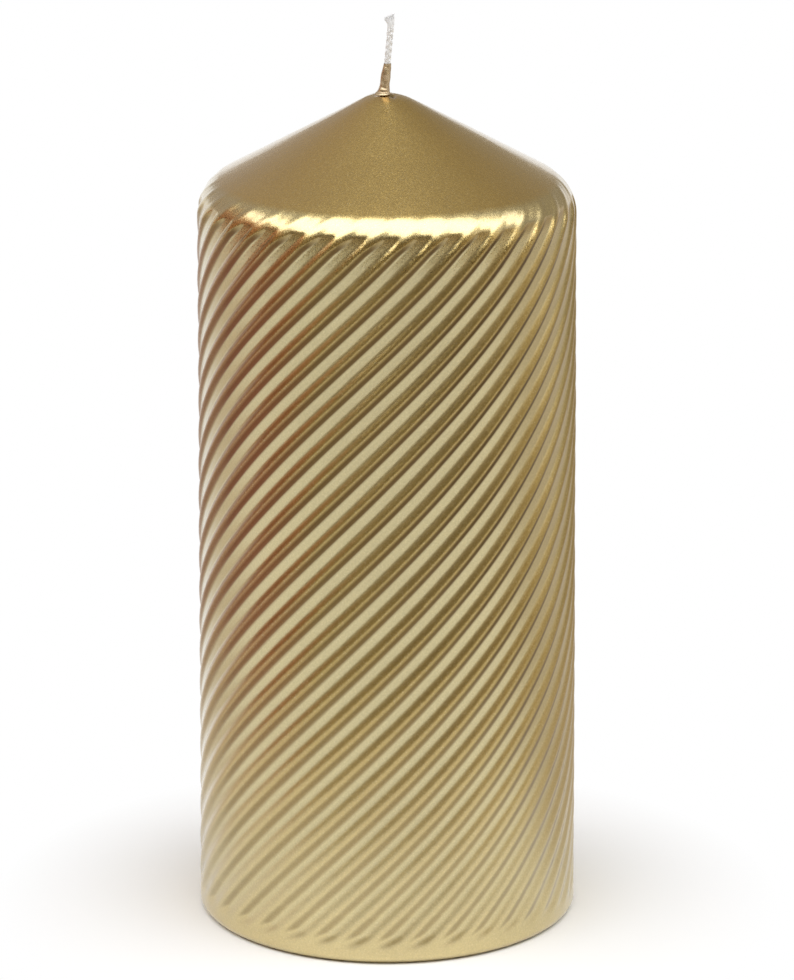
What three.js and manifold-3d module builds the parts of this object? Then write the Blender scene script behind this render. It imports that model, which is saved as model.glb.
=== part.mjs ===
// Pillar candle with spiral ribs, a smooth cone on top and a cotton wick.
// Millimetres, +Z up. The origin is the centre of the flat base.
//
// wax_core        pale pressed wax, a turned shape with a wick bore and a recess in its underside
// gold_skin       ribbed outer skin over the core's wall and cone, open underneath
// wick            cotton braid from the metal foot to above the cone
// wick_collar     lacquer sleeve round the lower end of the free wick
// wick_sustainer  steel disc with a neck, holding the lower end of the wick

import * as THREE from 'three';
import { mergeVertices } from 'three/addons/utils/BufferGeometryUtils.js';
import Module from 'manifold-3d';

// Body
const BASE_DIAMETER = 68;
const SHOULDER_DIAMETER = 66.6; // the wall narrows a little, so the candle leaves its mould
const WALL_HEIGHT = 132.4; // from the base to where the lines of wall and cone would meet
const CONE_SLOPE = THREE.MathUtils.degToRad(28.7);
const SHOULDER_ROUNDING = 7.5;
const TIP_ROUNDING = 9.5;
const BASE_EDGE_ROUNDING = 1.6;

// Spiral ribs, which rise to the right
const RIB_COUNT = 37;
const RIB_DEPTH = 0.6;
const RIB_LEAD = 215.2; // height in which a rib would go once round
const RIB_START = THREE.MathUtils.degToRad(-1.8); // where a crest begins at the base, right of the front
const RIB_CREST_WIDTH = 1.4;
const GROOVE_FLOOR_WIDTH = 1.4;
const GROOVE_FOOT_HEIGHT = 3; // the smooth band below the grooves
const GROOVE_RUN_IN = 3.6; // height over which a groove reaches its full depth
const GROOVE_RUN_OUT = 3.6; // length over which it fades away on the shoulder
const GROOVE_END_ON_SHOULDER = 5.4; // how far round the shoulder's curve it reaches

// Skin and core
const SKIN_UNDER_GROOVES = 1.45;
const FIT_GAP = 0.3;

// Wick, its lacquer collar and its metal foot
const WICK_DIAMETER = 1.2;
const WICK_OFFSET = -0.3; // the wick stands a little beside the candle's axis
const WICK_FREE_LENGTH = 14.2; // from the top of the cone to the frayed end
const WICK_LEAN = THREE.MathUtils.degToRad(5);
const WICK_BEND_LENGTH = 1.2; // length over which it turns from upright to leaning
const WICK_FRAY_DIAMETER = 1.7;
const WICK_FRAY_LENGTH = 2.4;
const COLLAR_HEIGHT = 5;
const COLLAR_FOOT_WALL = 0.25;
const COLLAR_RIM_WALL = 0.1;
const COLLAR_FOOT_DIAMETER = 3.2;
const COLLAR_FOOT_HEIGHT = 0.9;
const COLLAR_GAP = 0.04;
const SUSTAINER_DIAMETER = 20;
const SUSTAINER_SHEET = 0.4;
const SUSTAINER_NECK_HEIGHT = 5;
const SUSTAINER_SETBACK = 0.5; // how far the disc lies above the base plane

// Fineness of the faceted surfaces
const WALL_ROW_HEIGHT = 7.9;
const RUN_ROWS = 3;
const SHOULDER_ROWS = 6;
const SMALL_ARC_ROWS = 3;
const TURNED_SIDES = 64;
const WICK_SIDES = 12;
const WICK_ROW_LENGTH = 1.2;

const wasm = await Module();
wasm.setup();

// The turned outline

const baseRadius = BASE_DIAMETER / 2;
const shoulderRadius = SHOULDER_DIAMETER / 2;
const wallTilt = Math.atan((baseRadius - shoulderRadius) / WALL_HEIGHT);
const coneNormal = Math.PI / 2 - CONE_SLOPE;
const coneApexHeight = WALL_HEIGHT + shoulderRadius * Math.tan(CONE_SLOPE);

// Centres of the curves that round the outline, as [radius, height]
const shoulderTangent = SHOULDER_ROUNDING * Math.tan((coneNormal - wallTilt) / 2);
const shoulderCentre = [
  shoulderRadius + shoulderTangent * Math.sin(wallTilt) - SHOULDER_ROUNDING * Math.cos(wallTilt),
  WALL_HEIGHT - shoulderTangent * Math.cos(wallTilt) - SHOULDER_ROUNDING * Math.sin(wallTilt),
];
const tipCentre = [0, coneApexHeight - TIP_ROUNDING / Math.cos(CONE_SLOPE)];
const edgeCentre = [
  baseRadius - BASE_EDGE_ROUNDING * Math.tan(wallTilt) - BASE_EDGE_ROUNDING / Math.cos(wallTilt),
  BASE_EDGE_ROUNDING,
];
const tipHeight = tipCentre[1] + TIP_ROUNDING;

// One point of the outline: its radius and height, and the direction in which its surface faces.
function station(radius, height, facing) {
  return { radius, height, facing };
}

// Points on a curve round a centre, from one facing to another. The first is left out.
function arcStations(centre, rounding, from, to, rows) {
  return Array.from({ length: rows }, (_, row) => {
    const facing = from + ((to - from) * (row + 1)) / rows;
    return station(
      centre[0] + rounding * Math.cos(facing),
      centre[1] + rounding * Math.sin(facing),
      facing,
    );
  });
}

function wallStation(height, inset = 0) {
  const radius = baseRadius - height * Math.tan(wallTilt) - inset / Math.cos(wallTilt);
  return station(radius, height, wallTilt);
}

// The outline from the top of the wall to the tip, at a depth below the outer surface.
function topStations(inset, shoulderRows) {
  const shoulder = SHOULDER_ROUNDING - inset;
  const tip = TIP_ROUNDING - inset;
  return [
    station(
      shoulderCentre[0] + shoulder * Math.cos(wallTilt),
      shoulderCentre[1] + shoulder * Math.sin(wallTilt),
      wallTilt,
    ),
    ...arcStations(shoulderCentre, shoulder, wallTilt, coneNormal, shoulderRows),
    station(tip * Math.cos(coneNormal), tipCentre[1] + tip * Math.sin(coneNormal), coneNormal),
    ...arcStations(tipCentre, tip, coneNormal, Math.PI / 2, SMALL_ARC_ROWS),
  ];
}

// Shapes from outlines

function toSolid(geometry) {
  const bare = geometry.clone();
  bare.deleteAttribute('normal');
  bare.deleteAttribute('uv');
  const merged = mergeVertices(bare);
  return new wasm.Manifold(
    new wasm.Mesh({
      numProp: 3,
      vertProperties: merged.attributes.position.array,
      triVerts: new Uint32Array(merged.index.array),
    }),
  );
}

function toGeometry(solid) {
  const { vertProperties, triVerts } = solid.getMesh();
  const geometry = new THREE.BufferGeometry();
  geometry.setAttribute('position', new THREE.BufferAttribute(vertProperties, 3));
  geometry.setIndex(new THREE.BufferAttribute(triVerts, 1));
  geometry.computeVertexNormals();
  return geometry;
}

// A turned shape standing along +Z, from [radius, height] points that run up the outside.
function turned(points, sides = TURNED_SIDES) {
  const outline = points.map(([radius, height]) => new THREE.Vector2(radius, height));
  return new THREE.LatheGeometry(outline, sides).rotateX(Math.PI / 2);
}

// The outline of the core, or of the space that it fills, from its foot to its tip.
function coreOutline(inset) {
  return [wallStation(0, inset), ...topStations(inset, SMALL_ARC_ROWS)].map(
    ({ radius, height }) => [radius, height],
  );
}

// Spiral ribs

const ribPitch = (2 * Math.PI) / RIB_COUNT;
const crestHalf = RIB_CREST_WIDTH / BASE_DIAMETER;
const floorHalf = GROOVE_FLOOR_WIDTH / BASE_DIAMETER;

// The four corners of a rib, as an angle from its crest and the share of the groove's depth there
const ribCorners = [
  { angle: -crestHalf, depth: 0 },
  { angle: crestHalf, depth: 0 },
  { angle: ribPitch / 2 - floorHalf, depth: 1 },
  { angle: ribPitch / 2 + floorHalf, depth: 1 },
];

// How much of the groove's depth is there: none on the foot band and the cone, all of it between.
function grooveShare({ height, facing }) {
  const onShoulder = height > shoulderCentre[1] ? SHOULDER_ROUNDING * (facing - wallTilt) : 0;
  const shareAtFoot = THREE.MathUtils.smoothstep(
    height,
    GROOVE_FOOT_HEIGHT,
    GROOVE_FOOT_HEIGHT + GROOVE_RUN_IN,
  );
  const shareAtTop = THREE.MathUtils.smoothstep(
    GROOVE_END_ON_SHOULDER - onShoulder,
    0,
    GROOVE_RUN_OUT,
  );
  return shareAtFoot * shareAtTop;
}

// The ribbed body without any hollow: rings of corners that turn with the height, closed by two caps.
function ribbedBody() {
  const runIn = Array.from({ length: RUN_ROWS + 1 }, (_, row) =>
    wallStation(GROOVE_FOOT_HEIGHT + (GROOVE_RUN_IN * row) / RUN_ROWS),
  );
  const runInTop = GROOVE_FOOT_HEIGHT + GROOVE_RUN_IN;
  const wallTop = WALL_HEIGHT - shoulderTangent * Math.cos(wallTilt);
  const wallRows = Math.max(2, Math.round((wallTop - runInTop) / WALL_ROW_HEIGHT));
  const wall = Array.from({ length: wallRows - 1 }, (_, row) =>
    wallStation(runInTop + ((wallTop - runInTop) * (row + 1)) / wallRows),
  );
  const stations = [
    station(edgeCentre[0], 0, -Math.PI / 2),
    ...arcStations(edgeCentre, BASE_EDGE_ROUNDING, -Math.PI / 2, wallTilt, SMALL_ARC_ROWS),
    ...runIn,
    ...wall,
    ...topStations(0, SHOULDER_ROWS),
  ];
  const rings = stations.slice(0, -1);
  const tip = stations[stations.length - 1];
  const positions = [];
  for (const ring of rings) {
    const turn = (2 * Math.PI * ring.height) / RIB_LEAD + RIB_START - Math.PI / 2;
    const cut = RIB_DEPTH * grooveShare(ring);
    for (let rib = 0; rib < RIB_COUNT; rib += 1) {
      for (const corner of ribCorners) {
        const angle = turn + rib * ribPitch + corner.angle;
        const radius = ring.radius - cut * corner.depth * Math.cos(ring.facing);
        const height = ring.height - cut * corner.depth * Math.sin(ring.facing);
        positions.push(radius * Math.cos(angle), radius * Math.sin(angle), height);
      }
    }
  }
  const perRing = RIB_COUNT * ribCorners.length;
  const baseCentre = perRing * rings.length;
  const tipPoint = baseCentre + 1;
  positions.push(0, 0, 0, 0, 0, tip.height);

  const faces = [];
  for (let side = 0; side < perRing; side += 1) {
    const next = (side + 1) % perRing;
    faces.push(baseCentre, next, side);
    for (let row = 0; row < rings.length - 1; row += 1) {
      const lower = row * perRing;
      const upper = lower + perRing;
      faces.push(lower + side, lower + next, upper + side);
      faces.push(lower + next, upper + next, upper + side);
    }
    const last = (rings.length - 1) * perRing;
    faces.push(last + side, last + next, tipPoint);
  }
  const geometry = new THREE.BufferGeometry();
  geometry.setAttribute('position', new THREE.Float32BufferAttribute(positions, 3));
  geometry.setIndex(faces);
  return toSolid(geometry);
}

// Pieces

const skinInset = RIB_DEPTH + SKIN_UNDER_GROOVES;
const wickRadius = WICK_DIAMETER / 2;
const boreRadius = wickRadius + FIT_GAP;
const neckRadius = boreRadius + SUSTAINER_SHEET;
const discTop = SUSTAINER_SETBACK + SUSTAINER_SHEET;
const neckTop = discTop + SUSTAINER_NECK_HEIGHT;
const overshoot = 1; // how far a cutting shape runs past the face that it cuts

function bore(radius, from, to) {
  const outline = [
    [0, from],
    [radius, from],
    [radius, to],
    [0, to],
  ];
  return toSolid(turned(outline, TURNED_SIDES).translate(WICK_OFFSET, 0, 0));
}

function goldSkin() {
  const hollow = toSolid(
    turned([[0, -overshoot], [coreOutline(skinInset)[0][0], -overshoot], ...coreOutline(skinInset)]),
  );
  const wickHole = bore(boreRadius, WALL_HEIGHT, tipHeight + overshoot);
  return toGeometry(ribbedBody().subtract(hollow).subtract(wickHole));
}

function waxCore() {
  const body = toSolid(turned([[0, 0], ...coreOutline(skinInset + FIT_GAP)]));
  const wickBore = bore(boreRadius, 0, tipHeight + overshoot);
  const neckBore = bore(neckRadius + FIT_GAP, 0, neckTop + FIT_GAP);
  const discRecess = bore(SUSTAINER_DIAMETER / 2 + FIT_GAP, -overshoot, discTop + FIT_GAP);
  return toGeometry(body.subtract(wickBore).subtract(neckBore).subtract(discRecess));
}

function wickSustainer() {
  const outline = [
    [boreRadius, SUSTAINER_SETBACK],
    [SUSTAINER_DIAMETER / 2, SUSTAINER_SETBACK],
    [SUSTAINER_DIAMETER / 2, discTop],
    [neckRadius, discTop],
    [neckRadius, neckTop],
    [boreRadius, neckTop],
    [boreRadius, SUSTAINER_SETBACK],
  ];
  return turned(outline).translate(WICK_OFFSET, 0, 0);
}

// Leans a turned shape over above the top of the cone: sideways by a parabola over the bend's
// length, and by the slope of the lean above it.
function leaned(geometry) {
  const position = geometry.getAttribute('position');
  for (let index = 0; index < position.count; index += 1) {
    const rise = Math.max(0, position.getZ(index) - tipHeight);
    const inBend = Math.min(rise, WICK_BEND_LENGTH);
    const shift = inBend ** 2 / (2 * WICK_BEND_LENGTH) + (rise - inBend);
    position.setX(index, position.getX(index) + WICK_OFFSET + Math.tan(WICK_LEAN) * shift);
  }
  return geometry;
}

// Heights from one to another in steps of about the wick's row length, both ends included.
function wickHeights(from, to) {
  const rows = Math.max(1, Math.round((to - from) / WICK_ROW_LENGTH));
  return Array.from({ length: rows + 1 }, (_, row) => from + ((to - from) * row) / rows);
}

function wick() {
  const end = tipHeight + WICK_FREE_LENGTH;
  const fray = end - WICK_FRAY_LENGTH;
  const outline = [
    [0, SUSTAINER_SETBACK],
    [wickRadius, SUSTAINER_SETBACK],
    ...wickHeights(tipHeight, fray).map((height) => [wickRadius, height]),
    [WICK_FRAY_DIAMETER / 2, end],
    [0, end],
  ];
  return leaned(turned(outline, WICK_SIDES));
}

function wickCollar() {
  const foot = tipHeight + FIT_GAP;
  const neck = foot + COLLAR_FOOT_HEIGHT;
  const rim = foot + COLLAR_HEIGHT;
  const inner = wickRadius + COLLAR_GAP;
  const wallAt = (height) =>
    THREE.MathUtils.mapLinear(height, neck, rim, COLLAR_FOOT_WALL, COLLAR_RIM_WALL);
  const heights = wickHeights(neck, rim);
  const outline = [
    [inner, foot],
    [COLLAR_FOOT_DIAMETER / 2, foot],
    ...heights.map((height) => [inner + wallAt(height), height]),
    ...heights.toReversed().map((height) => [inner, height]),
    [inner, foot],
  ];
  return leaned(turned(outline, WICK_SIDES));
}

// The candle

const candle = new THREE.Group();

function addPiece(name, geometry, color, roughness, metalness) {
  const material = new THREE.MeshStandardMaterial({ color, roughness, metalness });
  const mesh = new THREE.Mesh(geometry, material);
  mesh.name = name;
  candle.add(mesh);
}

addPiece('wax_core', waxCore(), 0xefe6cf, 0.55, 0);
addPiece('gold_skin', goldSkin(), 0xb39a5c, 0.38, 0.9);
addPiece('wick', wick(), 0xe9e6e0, 0.95, 0);
addPiece('wick_collar', wickCollar(), 0xa9803f, 0.25, 0.85);
addPiece('wick_sustainer', wickSustainer(), 0xb9bbbd, 0.35, 1);

export default candle;
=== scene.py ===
import math

import bpy
import numpy as np
from bpy.props import FloatProperty, FloatVectorProperty, IntProperty, PointerProperty
from mathutils import Euler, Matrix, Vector


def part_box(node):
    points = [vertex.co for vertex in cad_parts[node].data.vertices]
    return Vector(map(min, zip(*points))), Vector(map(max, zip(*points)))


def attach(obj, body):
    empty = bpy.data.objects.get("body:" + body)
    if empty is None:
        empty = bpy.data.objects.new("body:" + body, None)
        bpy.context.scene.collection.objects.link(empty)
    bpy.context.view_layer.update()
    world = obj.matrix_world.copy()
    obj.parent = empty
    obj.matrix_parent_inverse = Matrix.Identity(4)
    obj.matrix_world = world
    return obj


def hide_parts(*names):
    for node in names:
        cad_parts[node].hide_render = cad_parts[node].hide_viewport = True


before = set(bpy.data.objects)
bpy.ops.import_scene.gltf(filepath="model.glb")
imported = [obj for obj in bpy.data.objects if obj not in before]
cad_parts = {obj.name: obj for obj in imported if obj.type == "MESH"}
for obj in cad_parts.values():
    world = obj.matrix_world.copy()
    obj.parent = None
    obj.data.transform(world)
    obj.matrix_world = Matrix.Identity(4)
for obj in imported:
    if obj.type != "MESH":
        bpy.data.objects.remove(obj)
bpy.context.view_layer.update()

bl_info = {
    "name": "Ribbed Pillar Candle",
    "version": (1, 0, 0),
    "blender": (4, 5, 0),
    "location": "3D View > Sidebar > Candle",
    "description": "Dresses a packed pillar candle: ribbed lacquer skin, wax core, braided wick",
    "category": "Object",
}

MM = 0.001

_, SKIN_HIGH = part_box("gold_skin")
WICK_LOW, WICK_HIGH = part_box("wick")
COLLAR_LOW, COLLAR_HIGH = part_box("wick_collar")


# Settings that a user would change

def length(name, description, default):
    """A size in metres for the panel."""
    return FloatProperty(name=name, description=description, default=default, unit="LENGTH", precision=5)


def angle(name, description, degrees):
    """An angle for the panel, given in degrees."""
    return FloatProperty(
        name=name, description=description, default=math.radians(degrees), subtype="ANGLE"
    )


def share(name, description, default):
    """A number from 0 to 1 for the panel."""
    return FloatProperty(
        name=name, description=description, default=default, min=0, max=1, subtype="FACTOR"
    )


def colour(name, description, default):
    """A linear colour for the panel."""
    return FloatVectorProperty(
        name=name, description=description, default=default, size=3, min=0, max=1, subtype="COLOR"
    )


class CandleBodySettings(bpy.types.PropertyGroup):
    """Sizes of the candle's body and of its spiral ribs."""

    base_radius: length("Base radius", "Radius of the wall at the base", SKIN_HIGH.x)
    shoulder_radius: length("Shoulder radius", "Radius where wall and cone would meet", 33.3 * MM)
    wall_height: length("Wall height", "Height where the lines of wall and cone would meet", 132.4 * MM)
    cone_slope: angle("Cone slope", "Slope of the cone above the horizontal", 28.7)
    shoulder_rounding: length("Shoulder rounding", "Radius between wall and cone", 7.5 * MM)
    tip_rounding: length("Tip rounding", "Radius of the cone's tip", 9.5 * MM)
    edge_rounding: length("Edge rounding", "Radius of the lower edge", 1.6 * MM)
    skin_thickness: length("Skin thickness", "Thickness of the dipped skin between grooves", 2.05 * MM)
    bore_radius: length("Bore radius", "Radius of the hole for the wick", 0.9 * MM)
    wick_offset: length("Wick offset", "How far the wick stands from the axis", -0.3 * MM)

    rib_count: IntProperty(name="Ribs", description="Spiral ribs round the wall", default=37, min=3)
    rib_depth: length("Rib depth", "Depth of the grooves between the ribs", 0.58 * MM)
    foot_depth: length("Depth at the foot", "Depth of the grooves just above the smooth band", 0.34 * MM)
    rib_lead: length("Rib lead", "Height in which a rib would go once round", 215.2 * MM)
    rib_start: angle("Rib start", "A crest's place at the base, right of the front", -1.8)
    top_turn: angle("Turn at the top", "How much further a rib has gone round at its top", 2.7)
    rib_share: share("Rib share", "Share of the pitch that a rib takes; the rest is the groove's floor", 0.68)
    groove_foot: length("Groove foot", "Height of the smooth band below the grooves", 2.5 * MM)
    groove_run_in: length("Groove run-in", "Height over which a groove gets deep", 2.8 * MM)
    groove_end: length("Groove end", "How far round the shoulder's curve a groove reaches", 5.5 * MM)
    groove_run_out: length("Groove run-out", "Length of the ramp that ends it", 1.9 * MM)
    floor_upright: share("Upright floor", "How nearly its floor goes on upright into the shoulder", 0.78)


class SkinFinishSettings(bpy.types.PropertyGroup):
    """Colours and gloss of the metallic lacquer, with the colours of its painted shade, reflection and
    highlight.
    """

    gold: colour("Gold", "Metallic lacquer on the open surfaces", (0.68, 0.475, 0.145))
    # Pale gold: painted reflection of the pale floor in the grooves and at the foot, and the painted
    # highlight on the shoulder's edge.
    painted_pale_gold: colour("Pale gold", "Lacquer that gathered in the grooves", (0.64, 0.55, 0.295))
    # Deep gold: darker gold on the ribs, partly thin lacquer and partly painted shade of their flanks.
    deep_gold: colour("Deep gold", "Thin lacquer on the crests of the ribs", (0.47, 0.345, 0.125))
    # Brown: painted shade on the flanks that face down and in the pit beside the wick; also the faint random
    # mottling.
    brown: colour("Brown", "Base coat that shows where little gold reached", (0.13, 0.077, 0.023))
    # Rust gold: a painted red reflection on the ribs on the left.
    red_reflection_gold: colour("Rust gold", "Thin lacquer on the crests on the left", (0.40, 0.225, 0.09))
    # Rust: a painted red reflection in the painted shade on the left.
    red_reflection: colour("Rust", "Base coat on the left", (0.17, 0.06, 0.02))
    flake: colour("Flake", "Single bright flakes", (0.85, 0.76, 0.48))
    roughness: share("Roughness", "Roughness of the metallic layer", 0.27)
    coat: share("Clear coat", "Strength of the clear layer", 1.0)


class WickSettings(bpy.types.PropertyGroup):
    """Sizes and colours of the braided wick and its lacquer collar."""

    radius: length("Radius", "Radius of the braid", 0.6 * MM)
    bend_length: length("Bend length", "Length over which it turns from upright to leaning", 1.2 * MM)
    lean: angle("Lean", "Lean of the free end", 5)
    fray_length: length("Fray length", "Length of the opened end", 2.4 * MM)
    fray_radius: length("Fray radius", "Reach of the opened end", 0.98 * MM)
    cotton: colour("Cotton", "Bleached cotton", (0.80, 0.81, 0.83))
    lacquer: colour("Lacquer", "Lacquer that ran up the wick", (0.38, 0.265, 0.15))


class StageSettings(bpy.types.PropertyGroup):
    """Floor, walls, lamps, the room's light and the camera."""

    floor_radius: length("Floor radius", "Radius of the round floor", 3.5)
    floor_colour: colour("Floor colour", "Pale floor", (0.86, 0.86, 0.86))
    wall_colour: colour("Wall colour", "Dim wall on the side of the camera", (0.34, 0.285, 0.19))
    side_colour: colour("Side colour", "Dim wall on the left", (0.44, 0.21, 0.13))
    shade_colour: colour("Shade colour", "Floor behind the candle, as gloss mirrors it", (0.72, 0.64, 0.55))
    back_left: colour("Back left", "The room's light from behind on the left", (1.0, 0.89, 0.82))
    back_right: colour("Back right", "The room's light from behind on the right", (0.80, 0.71, 0.56))
    room: FloatProperty(name="Room", description="Strength of the light from the room", default=0.42)
    softbox_level: FloatProperty(name="Softbox", description="Brightness of the overhead lamp", default=2.8)
    camera_distance: length("Camera distance", "From the candle's axis, level", 0.9)
    camera_height: length("Camera height", "Above the floor", 0.343)
    camera_pitch: angle("Camera pitch", "How far the camera looks down", 16.453)
    camera_turn: angle("Camera turn", "How far the camera looks to the right", 0.113)
    camera_lens: FloatProperty(name="Lens", description="Focal length in mm", default=193.6, unit="CAMERA")


# Meshes from grids

def smooth(x, low, high):
    """0 below low, 1 above high, and between them 3t^2 - 2t^3 of the share t of the way."""
    t = np.clip((x - low) / (high - low), 0, 1)
    return t * t * (3 - 2 * t)


def ripple(*terms):
    """A sum of sine waves that stands in for chance: each term is (size, phase array)."""
    return sum(size * np.sin(phase) for size, phase in terms)


def grid_faces(rows, columns, loop_rows=False, first=0):
    """Quads of a grid that closes along its columns, and along its rows too if told so. Seen from outside,
    the rows go up and the columns go round +Z."""
    index = first + np.arange(rows * columns).reshape(rows, columns)
    if loop_rows:
        index = np.vstack([index, index[:1]])
    right = np.roll(index, -1, axis=1)
    return np.stack([index[:-1], right[:-1], right[1:], index[1:]], axis=-1).reshape(-1, 4)


def fan_faces(ring, pole, flip):
    """Triangles from a ring of vertices to a pole."""
    following = np.roll(ring, -1)
    poles = np.full_like(ring, pole)
    order = [following, ring, poles] if flip else [ring, following, poles]
    return np.stack(order, axis=-1)


def tube_mesh_parts(points, first=0):
    """A closed tube from a grid of rings (rows, columns, 3): its vertices, two end poles and its faces."""
    rows, columns = points.shape[:2]
    count = rows * columns
    vertices = np.vstack([points.reshape(-1, 3), points[0].mean(0), points[-1].mean(0)])
    low_ring = first + np.arange(columns)
    high_ring = first + count - columns + np.arange(columns)
    faces = [
        *grid_faces(rows, columns, first=first).tolist(),
        *fan_faces(low_ring, first + count, flip=True).tolist(),
        *fan_faces(high_ring, first + count + 1, flip=False).tolist(),
    ]
    return vertices, faces


def mesh_object(name, vertices, faces, attributes=None):
    """A smooth shaded object from vertices in mm, with its point attributes."""
    mesh = bpy.data.meshes.new(name)
    mesh.from_pydata((np.asarray(vertices) * MM).tolist(), [], faces)
    for key, values in (attributes or {}).items():
        layer = mesh.attributes.new(key, "FLOAT", "POINT")
        layer.data.foreach_set("value", np.asarray(values, np.float32).ravel())
    mesh.shade_smooth()
    mesh.update()
    if mesh.validate():
        raise RuntimeError(f"{name}: the mesh had faults")
    made = bpy.data.objects.new(name, mesh)
    bpy.context.scene.collection.objects.link(made)
    return made


# The outline of the body, in mm

class Outline:
    """The turned outline: a leaning wall, a rounded shoulder, a cone and a rounded tip."""

    def __init__(self, body):
        self.base = body.base_radius / MM
        self.shoulder_radius = body.shoulder_radius / MM
        self.wall_height = body.wall_height / MM
        self.rounding = body.shoulder_rounding / MM
        self.tip_rounding = body.tip_rounding / MM
        self.edge = body.edge_rounding / MM
        self.tilt = math.atan((self.base - self.shoulder_radius) / self.wall_height)
        self.normal = math.pi / 2 - body.cone_slope
        tangent = self.rounding * math.tan((self.normal - self.tilt) / 2)
        self.shoulder = (
            self.shoulder_radius + tangent * math.sin(self.tilt) - self.rounding * math.cos(self.tilt),
            self.wall_height - tangent * math.cos(self.tilt) - self.rounding * math.sin(self.tilt),
        )
        apex = self.wall_height + self.shoulder_radius * math.tan(body.cone_slope)
        self.tip_centre = apex - self.tip_rounding / math.cos(body.cone_slope)
        self.tip = self.tip_centre + self.tip_rounding
        self.wall_top = self.shoulder[1] + self.rounding * math.sin(self.tilt)

    def wall_radius(self, height):
        """Radius of the wall at a height."""
        return self.base - height * math.tan(self.tilt)

    def arc(self, centre, rounding, start, end, rows):
        """Radius, height and facing along an arc, its first point left out."""
        facing = start + (end - start) * (np.arange(rows) + 1) / rows
        return np.stack(
            [centre[0] + rounding * np.cos(facing), centre[1] + rounding * np.sin(facing), facing], -1
        )

    def wall(self, low, high, rows):
        """Radius, height and facing up the wall, both ends included."""
        height = np.linspace(low, high, rows)
        return np.stack([self.wall_radius(height), height, np.full(rows, self.tilt)], -1)

    def cone(self, inset, rows):
        """Radius, height and facing up the cone at a depth below its surface, both ends left out."""
        start = np.array(self.shoulder) + (self.rounding - inset) * np.array(
            [math.cos(self.normal), math.sin(self.normal)]
        )
        end = np.array([0, self.tip_centre]) + (self.tip_rounding - inset) * np.array(
            [math.cos(self.normal), math.sin(self.normal)]
        )
        along = (np.arange(rows) + 1)[:, None] / (rows + 1)
        points = start + (end - start) * along
        return np.column_stack([points, np.full(rows, self.normal)])


# Skin: sizes and heights in mm

COLUMNS_PER_RIB = 16
EDGE_ROWS = 8
BAND_ROWS = 4
FOOT_ROWS = 16
FOOT_ROWS_END = 9
WALL_ROWS = 74
SHOULDER_ROWS = 26
CONE_ROWS = 9
TIP_ROWS = 6
MOAT_ROWS = 12
MOAT_ROWS_START = 2.6

# Heights between which the ribs change
TURN_FROM_TO = (90, 135)
ROUND_FROM_TO = (10, 75)
DEEPEN_FROM_TO = (8, 85)
EASE_FROM_TO = (112, 126)
SHOULDER_DEEPEN_FROM_TO = (125, 131)

# What they change to: a share of the pitch, and shares of the depth that go, come or stay
ROUND_RIB_SHARE = 0.97
EASED_DEPTH = 0.25
SHOULDER_DEPTH = 0.50
TRACE_DEPTH = 0.15
GROOVE_BLEND = 0.06

# The dipped surface, and the moat and the pit beside the wick
UNEVEN_DEPTH = 0.035
MOAT_RADIUS = 1.55
MOAT_WIDTH = 0.42
MOAT_DEPTH = 0.16
PIT_X, PIT_Y = 1.4, -1.1
PIT_STRETCH = 2
PIT_WIDTH = 0.42
PIT_DEPTH = 0.36


def skin_outline(body, outline):
    """Rows of (radius, height, facing) once round the skin's section: foot, wall, shoulder, cone, tip,
    down the wick's hole, and back inside. Also how many of them are on the outside."""
    inset = body.skin_thickness / MM
    edge = outline.edge
    edge_centre = (outline.base - edge * math.tan(outline.tilt) - edge / math.cos(outline.tilt), edge)
    bore = body.bore_radius / MM
    tip_centre = (0, outline.tip_centre)
    moat_facing = math.acos(MOAT_ROWS_START / outline.tip_rounding)
    bore_facing = math.acos(bore / outline.tip_rounding)
    outside = np.vstack(
        [
            [[edge_centre[0] - 0.5, 0, -math.pi / 2], [edge_centre[0], 0, -math.pi / 2]],
            outline.arc(edge_centre, edge, -math.pi / 2, outline.tilt, EDGE_ROWS),
            outline.wall(edge + 0.25, body.groove_foot / MM, BAND_ROWS),
            outline.wall(body.groove_foot / MM, FOOT_ROWS_END, FOOT_ROWS)[1:],
            outline.wall(FOOT_ROWS_END, outline.wall_top, WALL_ROWS)[1:],
            outline.arc(outline.shoulder, outline.rounding, outline.tilt, outline.normal, SHOULDER_ROWS),
            outline.cone(0, CONE_ROWS),
            outline.arc(tip_centre, outline.tip_rounding, outline.normal, moat_facing, TIP_ROWS),
            outline.arc(tip_centre, outline.tip_rounding, moat_facing, bore_facing, MOAT_ROWS),
        ]
    )
    inner_tip = outline.tip_rounding - inset
    hole_foot = outline.tip_centre + math.sqrt(inner_tip**2 - bore**2)
    inner_wall = outline.base - inset / math.cos(outline.tilt)
    hole = np.stack(
        [np.full(3, bore), np.linspace(outline.tip - 0.25, hole_foot, 3), np.full(3, math.pi)], -1
    )
    inside = np.vstack(
        [
            outline.arc(tip_centre, inner_tip, math.acos(bore / inner_tip), outline.normal, 3),
            outline.cone(inset, 1)[::-1],
            outline.arc(outline.shoulder, outline.rounding - inset, outline.normal, outline.tilt, 5),
            [[inner_wall, 0, outline.tilt]],
        ]
    )
    return np.vstack([outside, hole, inside]), len(outside)


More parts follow.
